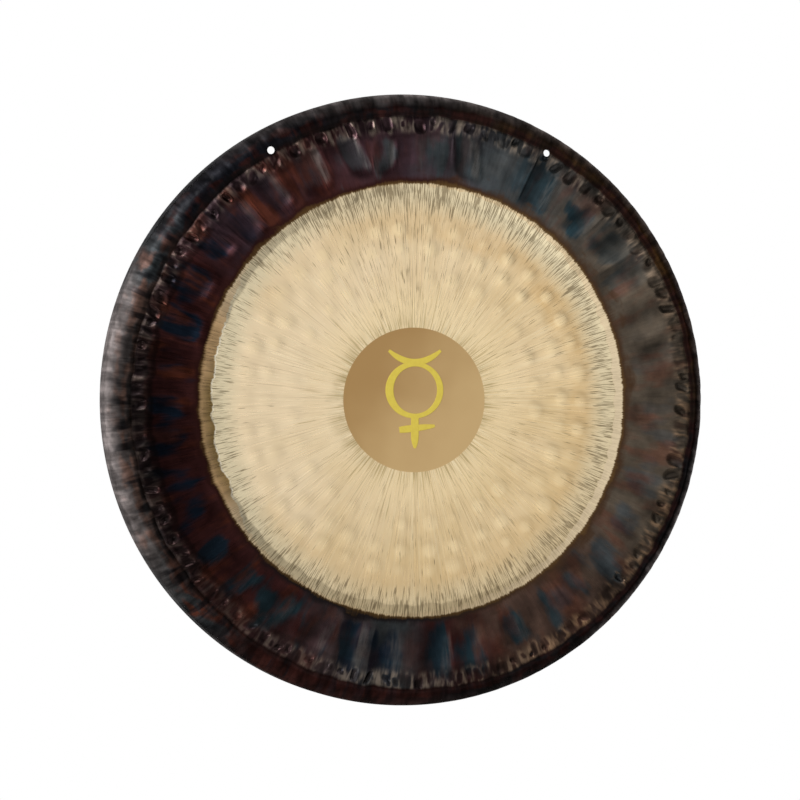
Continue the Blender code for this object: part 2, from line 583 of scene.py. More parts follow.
        # The crease wanders off its circle, and the metal either side of it goes along
        shift = add(Math.TIMES, cosine, given["crease up"])
        shift = add(Math.TIMES_PLUS, sine, given["crease across"], shift)
        round_place = add(Node.JOIN, cosine, sine, 0.0)
        wander = add(Math.MINUS, add(Node.NOISE, round_place, given["crease bends"], 3.0), 0.5)
        shift = add(Math.TIMES_PLUS, wander, given["crease wander"], shift)
        rising = add(Node.SMOOTH, plain, given["bevel radius"], given["shoulder radius"])
        falling = add(Node.SMOOTH, plain, given["wall radius"], given["shoulder radius"])
        radius = add(Math.TIMES_PLUS, shift, add(Math.TIMES, rising, falling), plain)

        # Dents push the bend inwards, but spare the outline
        spot = add(Node.SCALED, add(Node.JOIN, sine, 0.0, cosine), plain)
        spot = add(Node.MOVED, spot, add(Node.JOIN, 0.0, depth, 0.0))
        dent = add(Node.NOISE, spot, add(Math.OVER, 1.0, given["dent size"]), 1.0)
        dent = add(Node.RANGE, dent, 0.42, 0.72)
        start = add(Node.RANGE, depth, given["shoulder depth"], given["bend depth"])
        start = add(Math.SMALLER, add(Math.TIMES, start, 4.0), 1.0)
        stop = add(Node.RANGE, depth, given["bend depth"], given["shoulder depth"])
        for share in (start, stop, given["dent depth"]):
            dent = add(Math.TIMES, dent, share)
        radius = add(Math.MINUS, radius, dent)

        # The bevel starts in scallops, some deep and some hardly there
        swing = add(Math.TIMES, add(Math.TIMES, turn, given["scallops"]), 0.5)
        swing = add(Math.SIZE, add(Math.SINE, swing))
        chance = add(Node.RANGE, add(Node.NOISE, round_place, 6.0, 1.0), 0.3, 0.65)
        off = add(Math.SIZE, add(Math.MINUS, plain, given["face radius"]))
        width = add(Math.MINUS, given["bevel radius"], given["face radius"])
        for share in (chance, given["scallop height"], add(Node.SMOOTH, off, width, 0.0)):
            swing = add(Math.TIMES, swing, share)
        radius = add(Math.MINUS, radius, swing)

        # Marks are laid out on the unshifted radius, so they follow the crease
        group = self.mark_group()
        kept: dict[str, Socket] = {"ring": plain}
        for layer, rings in (("dimple", self.dimples), ("flute", self.flutes), ("hollow", self.hollows)):
            force: Socket | float = 1.0
            if f"{layer} side" in inputs:
                force = add(Math.COSINE, add(Math.MINUS, turn, given[f"{layer} side"]))
                force = add(Node.RANGE, force, 0.2, 1.0, 0.4, 1.0)
            for ring in rings:
                own = {name: given[f"{ring.name} {name}"] for name in sizes_of(ring)}
                own |= {"turn": turn, "radius": plain}
                deepest = own.pop("depth")
                height = add(Node.GROUP, named=own, node_tree=group)
                if ring is self.flutes[0]:
                    kept["left flank"] = add(Math.TIMES, height.node.outputs["clockwise"], cosine)
                kept[layer] = add(Math.LARGER, height, kept.get(layer, 0.0))
                depth = add(Math.TIMES_PLUS, add(Math.TIMES, height, force), deepest, depth)

        # A narrow valley where the rim was set down over the anvil
        off = add(Math.MINUS, plain, given["shoulder radius"])
        off = add(Math.OVER, off, given["crease half width"])
        valley = add(Math.LARGER, add(Math.MINUS, 1.0, add(Math.TIMES, off, off)), 0.0)
        depth = add(Math.TIMES_PLUS, valley, given["crease depth"], depth)

        # Uneven small dents over the ring of hollows, up to the crease
        across = add(Math.TIMES, sine, radius)
        up = add(Math.TIMES, cosine, radius)
        spot = add(Node.JOIN, across, 0.0, up)
        chatter = add(Node.NOISE, spot, add(Math.OVER, 1.0, given["chatter size"]), 2.0)
        band = add(Math.MINUS, given["shoulder radius"], given["collar radius"])
        start = add(Math.MINUS, given["collar radius"], band)
        start = add(Node.RANGE, plain, start, given["collar radius"])
        stop = add(Node.RANGE, plain, given["wall radius"], given["shoulder radius"])
        chatter = add(Math.TIMES, add(Math.TIMES, chatter, start), stop)
        depth = add(Math.TIMES_PLUS, chatter, given["chatter depth"], depth)

        # The whole sheet is a little wavy between the lacquered disc and the rim
        wave = add(Node.NOISE, spot, add(Math.OVER, 1.0, given["wave length"]), 1.0)
        loose = add(Node.SMOOTH, plain, given["disc radius"], given["collar radius"])
        wave = add(Math.TIMES, add(Math.TIMES, wave, loose), falling)
        depth = add(Math.TIMES_PLUS, wave, given["waviness"], depth)

        shape = add(Node.PLACE, given["Geometry"], add(Node.JOIN, across, depth, up))
        for layer, height in kept.items():
            shape = add(Node.STORE, shape, layer, height)
        shape = add(Node.REALIZE, shape)
        inside = add(Math.BELOW, plain, given["disc radius"])
        on_disc = add(Math.TIMES, inside, add(Math.BELOW, side, 0.5))
        on_back = add(Math.ABOVE, side, 0.5)
        for finish, chosen in (("front", None), ("lacquer", on_disc), ("back", on_back)):
            shape = add(Node.PAINT, shape, given[f"{finish} finish"], chosen)
        fill(tree, result, {"Geometry": shape})
        return tree, identifiers


@dataclass
class GongPlate:
    """The gong itself: blank, bending, hammering and the drilled cord holes."""

    section: GongSection
    work: HammerWork = field(default_factory=HammerWork)
    hole_angle: float = math.radians(29.6)  # to either side of the top
    hole_inset: float = 2.5 * MM  # hole centre inside the shoulder's outer edge
    left_hole: float = 10.0 * MM
    right_hole: float = 9.0 * MM
    hole_sides: int = 48
    sharp_from: float = math.radians(50.0)  # corners bent further than this shade as edges

    @staticmethod
    def bridge(shape: bmesh.types.BMesh, near: list[Any], far: list[Any]) -> None:
        """Closes the band between two neighbouring rings, whose steps may differ.

        Args:
            shape: The mesh being built.
            near: The corners of the ring nearer the centre of the front.
            far: The corners of the next ring.
        """
        flipped = len(near) > len(far)
        coarse, fine = (far, near) if flipped else (near, far)
        ratio = len(fine) // len(coarse)
        half = ratio // 2
        for step, here in enumerate(coarse):
            there = coarse[(step + 1) % len(coarse)]
            arc = [fine[(step * ratio + part) % len(fine)] for part in range(ratio + 1)]
            if ratio == 1:
                bands = [(here, there, arc[1], arc[0])]
            elif here is there:
                bands = [(here, arc[part + 1], arc[part]) for part in range(ratio)]
            else:
                bands = [(here, arc[part + 1], arc[part]) for part in range(half)]
                bands.append((here, there, arc[half]))
                bands += [(there, arc[part + 1], arc[part]) for part in range(half, ratio)]
            for corners in bands:
                shape.faces.new(corners[::-1] if flipped else corners)

    def blank(self, rings: list[Ring]) -> bpy.types.Object:
        """Lays out the flat blank, whose corners know their reach, turn and side.

        Args:
            rings: The section's rings.

        Returns:
            The blank.
        """
        shape = bmesh.new()
        layers = {name: shape.verts.layers.float.new(name) for name in ("reach", "turn", "side")}
        gaps = [math.hypot(b.radius - a.radius, b.depth - a.depth) for a, b in zip(rings, rings[1:])]
        total = sum(gaps)
        reach = 0.0
        rows = []
        for ring, gap in zip(rings, [0.0, *gaps]):
            reach += gap
            flat = min(reach, total - reach)
            row = []
            for step in range(ring.steps):
                turn = math.tau * step / ring.steps
                height = ring.side * self.section.sheet
                corner = shape.verts.new((flat * math.sin(turn), height, flat * math.cos(turn)))
                for name, value in (("reach", reach), ("turn", turn), ("side", ring.side)):
                    corner[layers[name]] = value
                row.append(corner)
            rows.append(row)
        for near, far in zip(rows, rows[1:]):
            self.bridge(shape, near, far)
        blank = shape_object("hammered_gong", shape)
        blank.data.shade_smooth()
        return blank

    def drill(self, plate: bpy.types.Object, finish: bpy.types.Material) -> None:
        """Drills the two cord holes straight through, along the gong's axis.

        Args:
            plate: The hammered plate.
            finish: The finish of the holes' walls.
        """
        distance = self.section.shoulder_radius - self.hole_inset
        reach = self.section.shoulder_depth
        across, up = distance * math.sin(self.hole_angle), distance * math.cos(self.hole_angle)
        upright = Vector((0.0, 1.0, 0.0)).to_track_quat("Z", "X").to_matrix()
        drills = []
        for side, diameter in ((-1, self.left_hole), (1, self.right_hole)):
            ends = {"radius1": diameter / 2, "radius2": diameter / 2, "depth": 2 * reach}
            shape = bmesh.new()
            bmesh.ops.create_cone(shape, cap_ends=True, segments=self.hole_sides, **ends)
            bmesh.ops.rotate(shape, verts=shape.verts, matrix=upright)
            bmesh.ops.translate(shape, verts=shape.verts, vec=Vector((side * across, reach, up)))
            drills.append(shape_object("drill", shape))
            drills[-1].data.materials.append(finish)
        combine(plate, drills, "DIFFERENCE", "MANIFOLD")

        # The corners that the drills made don't know their ring yet
        known = plate.data.attributes["ring"].data
        for corner, ring in zip(plate.data.vertices, known):
            if ring.value == 0.0 and math.hypot(corner.co.x, corner.co.z) > self.section.face_radius:
                ring.value = distance

    def build(self, finishes: dict[str, bpy.types.Material]) -> bpy.types.Object:
        """Makes the finished plate.

        Args:
            finishes: Materials for the front, the lacquer and the back.

        Returns:
            The plate, in its place.
        """
        rings = self.section.rings()
        line = line_object("section_line", [(ring.radius, ring.depth, 0.0, 1.0) for ring in rings])
        plate = self.blank(rings)
        hammering = plate.modifiers.new("hammering", "NODES")
        hammering.node_group, identifiers = self.work.tree(self.section)
        hammering[identifiers["section line"]] = line
        for side, material in finishes.items():
            hammering[identifiers[f"{side} finish"]] = material
        replace_by_result(plate)
        bpy.data.curves.remove(line.data)
        self.drill(plate, finishes["back"])
        plate.data.set_sharp_from_angle(angle=self.sharp_from)
        plate.data.name = plate.name
        return plate


class Heat(Enum):
    """Colours that the fire leaves in the oxide skin, as sRGB."""

    SLATE = "373B3D"
    TEAL = "1E2E34"
    TAUPE = "4B4238"
    OLIVE = "3C2812"
    MAROON = "381C1B"
    UMBER = "3D2B1D"
    EMBER = "5A2C1B"
    PLUM = "3A2A30"
    NAVY = "131C28"
    ASH = "605856"
    COAL = "171314"
    INK = "131419"
    RUST = "2C1411"
    CLAY = "48372F"
    DUST = "7C5E52"


# Stops round the gong: clock angle in degrees, and the heat colour or level there
Heats = tuple[tuple[int, Heat], ...]
Levels = tuple[tuple[int, float], ...]


@dataclass(frozen=True)
class Polar:
    """Where a point lies on the plate, as sockets of one material."""

    tree: bpy.types.NodeTree
    point: Socket
    radius: Socket
    ring: Socket  # the radius before the sheet was hammered, which the zones follow
    direction: Socket  # from the axis, of length 1
    clock: Socket  # 0 to 1, clockwise from the top

    @classmethod
    def of(cls, tree: bpy.types.NodeTree) -> "Polar":
        """Adds the nodes that give the place on the plate."""
        add = partial(add_node, tree)
        point = add(Node.POINT)
        flat = add(Node.FLAT, point, (1.0, 0.0, 1.0))
        ring = add(Node.LAYER, attribute_name="ring")
        turn = add(Math.ANGLE, *(add(Node.SPLIT, point, output=axis) for axis in ("X", "Z")))
        clock = add(Math.FRACTION, add(Math.OVER, turn, math.tau))
        return cls(tree, point, add(Node.LENGTH, flat), ring, add(Node.OF_LENGTH_1, flat), clock)

    def grain(
        self, across: float, along: float, at: float, detail: float = 2.0, layer: float = 0.0
    ) -> Socket:
        """Noise drawn out along the radii, or round them.

        Args:
            across: Size of a grain round the gong, measured at one radius.
            along: Size of a grain along the radius.
            at: That radius.
            detail: How many finer layers it has.
            layer: Sets this noise apart from the others.

        Returns:
            The noise, 0 to 1 about 0.5.
        """
        add = partial(add_node, self.tree)
        round_part = add(Node.SCALED, self.direction, at / across)
        out_part = add(Math.TIMES_PLUS, self.radius, 1.0 / along, layer)
        spot = add(Node.MOVED, round_part, add(Node.JOIN, 0.0, out_part, 0.0))
        return add(Node.NOISE, spot, 1.0, detail)

    def by_clock(self, stops: Heats | Levels, stray: float = 0.0, layer: float = 0.0) -> Socket:
        """A colour or level that changes with the clock angle, with blotchy borders.

        Args:
            stops: Clock angles, and the heat colour or level there.
            stray: How far a border strays, as a share of the circle.
            layer: Sets this noise apart from the others.

        Returns:
            The colour, or the level as a grey.
        """
        add = partial(add_node, self.tree)
        blotch = add(Node.NOISE, add(Node.MOVED, self.point, (layer,) * 3), 28.0, 3.0)
        place = add(Math.TIMES_PLUS, add(Math.MINUS, blotch, 0.5), stray, self.clock)
        colour = add(Node.RAMP, add(Math.FRACTION, place))
        ramp = colour.node.color_ramp
        for degrees, stop in (*stops, (360, stops[0][1])):
            ends = {0: 0, 360: len(ramp.elements) - 1}
            at_end = degrees in ends
            element = ramp.elements[ends[degrees]] if at_end else ramp.elements.new(degrees / 360.0)
            element.color = linear(stop.value) if isinstance(stop, Heat) else (stop, stop, stop, 1.0)
        return colour

    def laid(self, ground: Socket | Colour, *coats: tuple[Any, ...]) -> Socket | Colour:
        """Lays coats of colour over a ground, one after the other.

        Args:
            ground: The colour below.
            coats: Each coat's colour, as a socket or as sRGB, and then the levels whose product is
                how much of it shows.

        Returns:
            The colour with all coats.
        """
        add = partial(add_node, self.tree)
        for colour, share, *others in coats:
            for other in others:
                share = add(Math.TIMES, share, other)
            ground = add(Node.BLEND, share, ground, linear(colour) if isinstance(colour, str) else colour)
        return ground

    def shaded(self, colour: Socket, *levels: Socket) -> Socket:
        """Darkens or lightens a colour by levels that are multiplied."""
        add = partial(add_node, self.tree)
        shade = levels[0]
        for other in levels[1:]:
            shade = add(Math.TIMES, shade, other)
        return add(Node.SHADE, 1.0, colour, add(Node.JOIN, shade, shade, shade))


@dataclass(frozen=True)
class Finish:
    """A finish: its name and its material."""

    name: str

    def surface(self, tree: bpy.types.NodeTree) -> dict[str, Any]:
        """Gives values or sockets for the shader's inputs by name, and adds the nodes they need."""
        raise NotImplementedError

    def material(self) -> bpy.types.Material:
        """Builds the material."""
        material = bpy.data.materials.new(self.name)
        material.use_nodes = True
        tree = material.node_tree
        fill(tree, tree.nodes["Principled BSDF"].inputs, self.surface(tree))
        return material


@dataclass(frozen=True)
class FiredBronze(Finish):
    """Nickel bronze, fired dark and then scraped bright inside the bevel.

    The fire leaves a thin oxide skin: a dark satin mirror whose heat colours lie in soft patches,
    cooler in the hammered basins and warmer on the ridges between them. The scraper leaves pale
    gold metal with fine lines along the radii.
    """

    section: GongSection
    gold: str = "E6D0AC"
    gold_shade: str = "D3B98C"
    gold_dull: str = "BCA074"
    gold_pale: str = "E6DAB8"
    combed: str = "D6C9A8"
    tan: str = "BE985F"
    # pale gold near the disc, and the dimples' painted highlight
    near_disc: str = "EBD4A8"
    # the lip: painted shade inside, painted light outside, a painted highlight along the nick, and a pale
    # colour that is partly painted light
    lip_inner: str = "8A6E30"
    lip_outer: str = "D8B07E"
    lip_pale: str = "D5C4A6"
    nick: str = "F2E8D2"
    hair: str = "66563C"
    dash: str = "8C7844"
    burnt_gold: str = "574022"
    worn: str = "857A6E"
    worn_brown: str = "8A6C50"
    rubbed_edge: str = "A89E9C"
    # painted sheen on one flank of each flute
    grey: str = "6A6662"
    sooted: str = "1F1A1B"
    # near black: soot in the hollows, and painted shade in the crease and by the ring of marks
    tarnish: str = "120D0C"
    hair_width: float = 1.1 * MM
    hair_length: float = 22.0 * MM
    comb_reach: float = 48.0 * MM
    dash_width: float = 1.4 * MM
    dash_length: float = 60.0 * MM
    ray_width: float = 1.7 * MM
    ray_length: float = 120.0 * MM
    burnt_width: float = 23.0 * MM
    mid_collar: float = 330.0 * MM  # radii at which the skin's grain is measured
    mid_shoulder: float = 370.0 * MM
    mid_rim: float = 395.0 * MM
    edge_tint: float = 0.35  # oxide mirrors less than bare metal at a flat angle
    glaze: float = 0.05  # wax over the skin, which gives white glints
    tones: Levels = (  # how pale the face is
        (0, 0.5), (30, 0.4), (60, 0.3), (90, 0.15), (120, 0.1), (180, 0.15), (210, 0.35), (240, 0.9),
        (270, 1.0), (330, 0.75),
    )
    ridges: Heats = (  # skin on the collar between the flutes
        (0, Heat.PLUM), (20, Heat.SLATE), (55, Heat.TAUPE), (118, Heat.TAUPE), (138, Heat.CLAY),
        (158, Heat.CLAY), (170, Heat.MAROON), (185, Heat.SLATE), (212, Heat.MAROON), (300, Heat.MAROON),
        (314, Heat.PLUM), (335, Heat.MAROON),
    )
    basins: Heats = (  # skin in the flutes
        (0, Heat.SLATE), (42, Heat.TEAL), (70, Heat.TAUPE), (125, Heat.SLATE), (160, Heat.TEAL),
        (190, Heat.NAVY), (212, Heat.TEAL), (238, Heat.NAVY), (308, Heat.NAVY), (322, Heat.PLUM),
    )
    burns: Heats = (  # burnt ring outside the bevel
        (0, Heat.RUST), (25, Heat.UMBER), (150, Heat.UMBER), (178, Heat.COAL), (215, Heat.COAL),
        (235, Heat.RUST),
    )
    sheens: Levels = (  # how strong the painted sheen on the flutes' flanks is
        (0, 0.7), (35, 0.5), (80, 0.35), (140, 0.15), (172, 0.6), (205, 0.4), (235, 0.0), (295, 0.1),
        (325, 0.8),
    )
    embers: Levels = (  # how much of the collar glows like embers
        (0, 0.15), (45, 0.3), (95, 0.4), (140, 0.35), (190, 0.1), (225, 0.7), (265, 0.5), (292, 0.9),
        (320, 0.75), (345, 0.3),
    )
    rim: Heats = (  # skin on the rim; its ash grey on the left is partly painted light
        (0, Heat.COAL), (35, Heat.OLIVE), (75, Heat.OLIVE), (100, Heat.COAL), (165, Heat.COAL),
        (185, Heat.RUST), (212, Heat.RUST), (228, Heat.SLATE), (246, Heat.ASH), (284, Heat.ASH),
        (298, Heat.SLATE), (310, Heat.INK), (330, Heat.INK), (345, Heat.COAL),
    )
    edges: Levels = (  # how much painted sheen lightens the rim's wall
        (0, 0.75), (30, 0.4), (60, 0.38), (90, 0.5), (120, 0.7), (145, 0.05), (170, 0.05), (224, 0.0),
        (240, 0.25), (255, 0.75), (283, 0.75), (296, 0.05), (320, 0.03), (345, 0.35),
    )
    crusts: Heats = (  # patches on the rim by the crease; the pale left ones are partly painted light
        (0, Heat.RUST), (214, Heat.RUST), (228, Heat.EMBER), (246, Heat.DUST), (288, Heat.DUST),
        (306, Heat.RUST),
    )
    rubs: Levels = (  # how far the marks' ridges are rubbed
        (0, 0.7), (30, 0.55), (60, 0.4), (90, 0.5), (130, 0.65), (178, 0.65), (195, 0.3), (225, 0.1),
        (295, 0.15), (330, 0.25), (345, 0.5),
    )
    shades: Levels = (  # how bright the painted light and shade make the collar's outer half
        (0, 1.0), (130, 1.0), (150, 1.2), (170, 1.05), (185, 1.2), (208, 1.3), (230, 0.62), (282, 0.62),
        (300, 1.1),
    )
    browns: Levels = (  # how brown the rubbed marks are
        (0, 0.1), (60, 0.4), (90, 0.9), (145, 0.9), (175, 0.1),
    )
    soots: Levels = (  # how sooty the ring of marks is
        (0, 0.4), (45, 0.1), (120, 0.0), (170, 0.3), (205, 0.45), (240, 0.75), (270, 0.9), (295, 0.8),
        (308, 0.5), (347, 0.4),
    )
    creases: Levels = (  # how dark the painted shade in the crease is
        (0, 0.35), (60, 0.25), (180, 0.35), (235, 0.95), (345, 0.9),
    )
    combs: Levels = (  # how dense the edge's strokes are
        (0, 2.0), (28, 1.5), (60, 1.4), (92, 1.3), (150, 1.35), (195, 1.2), (232, 0.9), (270, 0.8),
        (305, 0.7), (335, 1.7),
    )
    silvers: Levels = (  # how silvery the face's edge is
        (0, 0.65), (25, 0.9), (60, 0.8), (95, 0.75), (130, 0.4), (200, 0.45), (240, 0.85), (300, 0.85),
        (335, 0.6),
    )
    bands: Levels = (  # how tan the ring inside it is
        (0, 0.5), (40, 0.9), (75, 0.8), (110, 0.35), (200, 0.2), (240, 0.0), (320, 0.1), (345, 0.4),
    )
    lifts: Levels = (  # how pale the metal near the disc and the dimples' painted highlights are
        (0, 1.0), (60, 0.85), (120, 0.6), (150, 0.85), (185, 0.7), (215, 0.5), (240, 0.3), (270, 0.2),
        (300, 0.5), (335, 0.95),
    )
    smudges: Levels = (  # how smudged the disc's border is
        (0, 0.2), (90, 0.3), (150, 0.12), (205, 0.25), (240, 0.5), (270, 0.65), (300, 0.45), (330, 0.2),
    )
    strays: Levels = (  # how far out the scraping ends
        (0, 0.55), (35, 0.85), (60, 0.8), (110, 0.75), (150, 0.95), (185, 0.65), (215, 0.4), (300, 0.45),
        (330, 0.0),
    )
    lip_tones: Levels = (  # how much painted light the lip's slope takes
        (0, 0.2), (225, 0.5), (240, 0.35), (258, 0.0), (272, 0.05), (282, 0.6), (290, 1.0), (300, 1.0),
        (315, 0.4),
    )
    golds: Levels = (  # where the lip is wide and golden, painted darker inside and lighter outside
        (0, 0.0), (230, 0.0), (244, 1.0), (290, 1.0), (306, 0.0),
    )
    lips: Levels = (  # how wide the smooth lip is
        (0, 0.05), (35, 0.3), (60, 0.55), (85, 0.8), (110, 0.75), (140, 0.6), (165, 0.45), (190, 0.1),
        (232, 0.3), (246, 0.95), (288, 1.0), (301, 0.55), (312, 0.15), (335, 0.1),
    )

    def scraped(self, polar: Polar) -> Socket:
        """Colour of the bright metal."""
        add, grain, by_clock, laid = partial(add_node, polar.tree), polar.grain, polar.by_clock, polar.laid
        section = self.section
        cloud = add(Node.RANGE, add(Node.NOISE, polar.point, 12.0, 3.0), 0.3, 0.7, -0.25, 0.25)
        cloud = add(Math.PLUS, cloud, by_clock(self.tones, 0.1, 15.0))
        outer = add(Node.RANGE, polar.ring, 0.215, 0.262, 0.0, 0.7)
        shade = (self.gold_dull, outer, add(Math.MINUS, 1.0, cloud))
        colour = laid(linear(self.gold_shade), (self.gold, cloud), shade)

        # Soft zones: paler near the disc, a cloudy tan ring inside the silvery edge, painted dimple
        # highlights
        lift = add(Node.SMOOTH, polar.ring, 0.170, 0.115, 0.0, 0.75)
        colour = laid(colour, (self.near_disc, lift, by_clock(self.lifts, 0.05, 21.0)))
        puff = add(Node.NOISE, polar.point, 26.0, 3.0)
        wander = add(Math.TIMES_PLUS, puff, 0.030, polar.ring)
        band = add(Node.SMOOTH, wander, 0.216, 0.236)
        outer = add(Node.SMOOTH, wander, 0.272, 0.252)
        puff = add(Node.RANGE, puff, 0.36, 0.64, 0.15, 0.55)
        colour = laid(colour, (self.tan, band, outer, puff, by_clock(self.bands, 0.06, 23.0)))
        # A painted highlight pales the hammered dimples
        dimple_highlight = add(Node.LAYER, attribute_name="dimple")
        dimple_highlight = add(Node.SMOOTH, dimple_highlight, 0.25, 0.8, 0.0, 0.6)
        colour = laid(colour, (self.near_disc, dimple_highlight, by_clock(self.lifts)))

        # Fine rays left by the scraper's long strokes, faint towards the edge
        rays = grain(self.ray_width, self.ray_length, section.face_radius, 3.0, 3.0)
        clear = add(Node.RANGE, polar.ring, 0.150, 0.240, 1.0, 0.45)
        pale = (self.gold_pale, add(Node.RANGE, rays, 0.52, 0.75, 0.0, 0.45), clear)
        dark = (self.hair, add(Node.RANGE, rays, 0.45, 0.22, 0.0, 0.42), clear)
        colour = laid(colour, pale, dark)

        # A comb of dark strokes on paler metal reaches in from the lip
        lip = by_clock(self.lips)
        lip_radius = add(Node.RANGE, lip, 0.0, 1.0, section.bevel_radius, section.face_radius)
        for width, sway in ((2.2 * MM, 3.0 * MM), (9.0 * MM, 7.0 * MM)):
            frayed = grain(width, 1.0, section.bevel_radius, 1.0, 43.0)
            lip_radius = add(Math.TIMES_PLUS, frayed, sway, lip_radius)
        inside = add(Math.MINUS, add(Math.MINUS, lip_radius, polar.ring), 5.0 * MM)
        off_lip = add(Node.RANGE, inside, -0.5 * MM, 0.5 * MM)
        fray = grain(6.0 * MM, 0.040, section.face_radius, 2.0, 25.0)
        fray = add(Math.MINUS, add(Math.TIMES_PLUS, fray, 16.0 * MM, inside), 8.0 * MM)
        silver = add(Node.RANGE, fray, 0.85 * self.comb_reach, 0.35 * self.comb_reach)
        colour = laid(colour, (self.combed, silver, by_clock(self.silvers, 0.04, 27.0), off_lip))
        hairs = grain(self.hair_width, self.hair_length, section.bevel_radius, 1.0, 7.0)
        limit = add(Node.RANGE, inside, self.comb_reach, 0.3 * self.comb_reach, 0.80, 0.63)
        limit = add(Math.TIMES_PLUS, by_clock(self.combs, 0.06, 9.0), -0.10, limit)
        clump = grain(11.0 * MM, 0.018, section.bevel_radius, 1.0, 35.0)
        limit = add(Math.TIMES_PLUS, add(Math.MINUS, clump, 0.5), -0.22, limit)
        strokes = add(Node.RANGE, add(Math.MINUS, hairs, limit), 0.0, 0.07, 0.0, 0.72)

        # The wide lip is painted darker inside, lighter outside and with a highlight along the nick
        broad = by_clock(self.golds)
        slope = add(Node.RANGE, polar.ring, section.face_radius, section.bevel_radius, 0.0, 0.9)
        slope = add(Math.PLUS, slope, by_clock(self.lip_tones, 0.01, 39.0))
        bare = laid(linear(self.lip_inner), (self.lip_outer, slope))
        bare = laid(linear(self.lip_pale), (bare, broad))
        worn = add(Math.MINUS, 1.0, off_lip)
        bare = (bare, worn, add(Node.RANGE, lip, 0.1, 0.9, 0.2, 0.9))
        bared = add(Math.TIMES, add(Node.RANGE, lip, 0.3, 0.7, 0.0, 0.75), worn)
        colour = laid(colour, bare, (self.hair, strokes, add(Math.MINUS, 1.0, bared)))
        nick = add(Math.SIZE, add(Math.MINUS, inside, 1.4 * MM))
        nick = add(Node.RANGE, nick, 1.4 * MM, 0.4 * MM)
        patchy = grain(7.0 * MM, 1.0, section.face_radius, 2.0, 47.0)
        patchy = add(Node.RANGE, patchy, 0.36, 0.62, 0.1, 0.9)
        colour = laid(colour, (self.nick, nick, broad, patchy))

        # Round the disc the scraper was held off: soft dull patches, and long strokes that taper
        reach = add(Math.MINUS, polar.radius, section.disc_radius)
        close = add(Node.RANGE, reach, 0.026, 0.0)
        cloud = add(Node.RANGE, grain(14.0 * MM, 0.030, section.disc_radius, 2.0, 37.0), 0.40, 0.64)
        colour = laid(colour, (self.dash, cloud, close, by_clock(self.smudges, 0.02, 73.0)))
        dashes = grain(self.dash_width, self.dash_length, section.disc_radius, 2.0, 13.0)
        over = add(Math.MINUS, dashes, add(Node.RANGE, reach, 0.0, 0.085, 0.50, 0.74))
        pale = (self.gold_pale, add(Node.RANGE, over, -0.06, -0.20, 0.0, 0.55), close)
        return laid(colour, pale, (self.dash, add(Node.RANGE, over, 0.0, 0.12, 0.0, 0.5)))

    def fired(self, polar: Polar) -> Socket:
        """Colour of the fire's skin."""
        add, grain, by_clock, laid = partial(add_node, polar.tree), polar.grain, polar.by_clock, polar.laid
        section = self.section
        cool = grain(20.0 * MM, 70.0 * MM, self.mid_collar, 3.0, 5.0)
        cool = add(Math.TIMES_PLUS, add(Node.LAYER, attribute_name="flute"), 0.48, cool)
        cool = add(Node.SMOOTH, cool, 0.57, 0.80)
        collar = laid(by_clock(self.ridges, 0.07), (by_clock(self.basins, 0.07, 2.0), cool))
        warm = add(Node.SMOOTH, grain(27.0 * MM, 75.0 * MM, self.mid_collar, 3.0, 11.0), 0.48, 0.66)
        collar = laid(collar, (Heat.EMBER.value, warm, by_clock(self.embers, 0.02, 6.0)))

        # Painted sheen: one flank of each flute is lightened grey in streaks, the other stays dark
        side = add(Node.LAYER, attribute_name="left flank")
        # Painted light and shade on the collar's outer half, by clock angle
        out = add(Node.SMOOTH, polar.ring, 0.318, 0.350)
        outer = add(Node.MIX, out, 1.0, by_clock(self.shades, 0.02, 49.0))
        flank = add(Node.SMOOTH, side, 0.08, 0.36)
        brushed = add(Node.RANGE, grain(5.0 * MM, 40.0 * MM, self.mid_collar, 2.0, 61.0), 0.35, 0.6)
        collar = laid(collar, (self.grey, flank, brushed, by_clock(self.sheens, 0.03, 19.0)))

        # Sooty marks with ridges rubbed on some sides, and a painted shadow inside the ring
        uneven = grain(9.0 * MM, 1.0, section.shoulder_radius, 2.0, 57.0)
        uneven = add(Math.TIMES_PLUS, uneven, 9.0 * MM, polar.ring)
        bulge = grain(24.0 * MM, 1.0, section.shoulder_radius, 1.0, 59.0)
        uneven = add(Math.MINUS, add(Math.TIMES_PLUS, bulge, 12.0 * MM, uneven), 10.5 * MM)
        ends = (section.collar_radius - 6.0 * MM, section.collar_radius + 6.0 * MM)
        band = add(Node.SMOOTH, uneven, *ends)
        soots = by_clock(self.soots, 0.04, 17.0)
        # A painted shadow falls along the inner edge of the ring of marks
        border = add(Math.SIZE, add(Math.MINUS, uneven, section.collar_radius - 5.0 * MM))
        border = add(Node.SMOOTH, border, 6.5 * MM, 1.5 * MM, 0.0, 0.75)
        collar = laid(collar, (self.tarnish, border, soots), (self.sooted, soots, band))
        hollow = add(Node.LAYER, attribute_name="hollow")
        rubbed = add(Node.RANGE, hollow, 0.35, 0.0)
        fence = grain(7.0 * MM, 30.0 * MM, self.mid_shoulder, 2.0, 53.0)
        smudge = add(Node.RANGE, fence, 0.42, 0.66)
        worn = laid(linear(self.worn), (self.worn_brown, by_clock(self.browns, 0.02, 29.0)))
        collar = laid(collar, (worn, rubbed, smudge, band, by_clock(self.rubs, 0.03, 14.0)))
        sooty = add(Node.RANGE, hollow, 0.25, 0.9, 0.0, 0.75)
        collar = laid(collar, (self.tarnish, sooty, add(Node.RANGE, soots, 0.0, 0.4, 0.5, 1.0)))

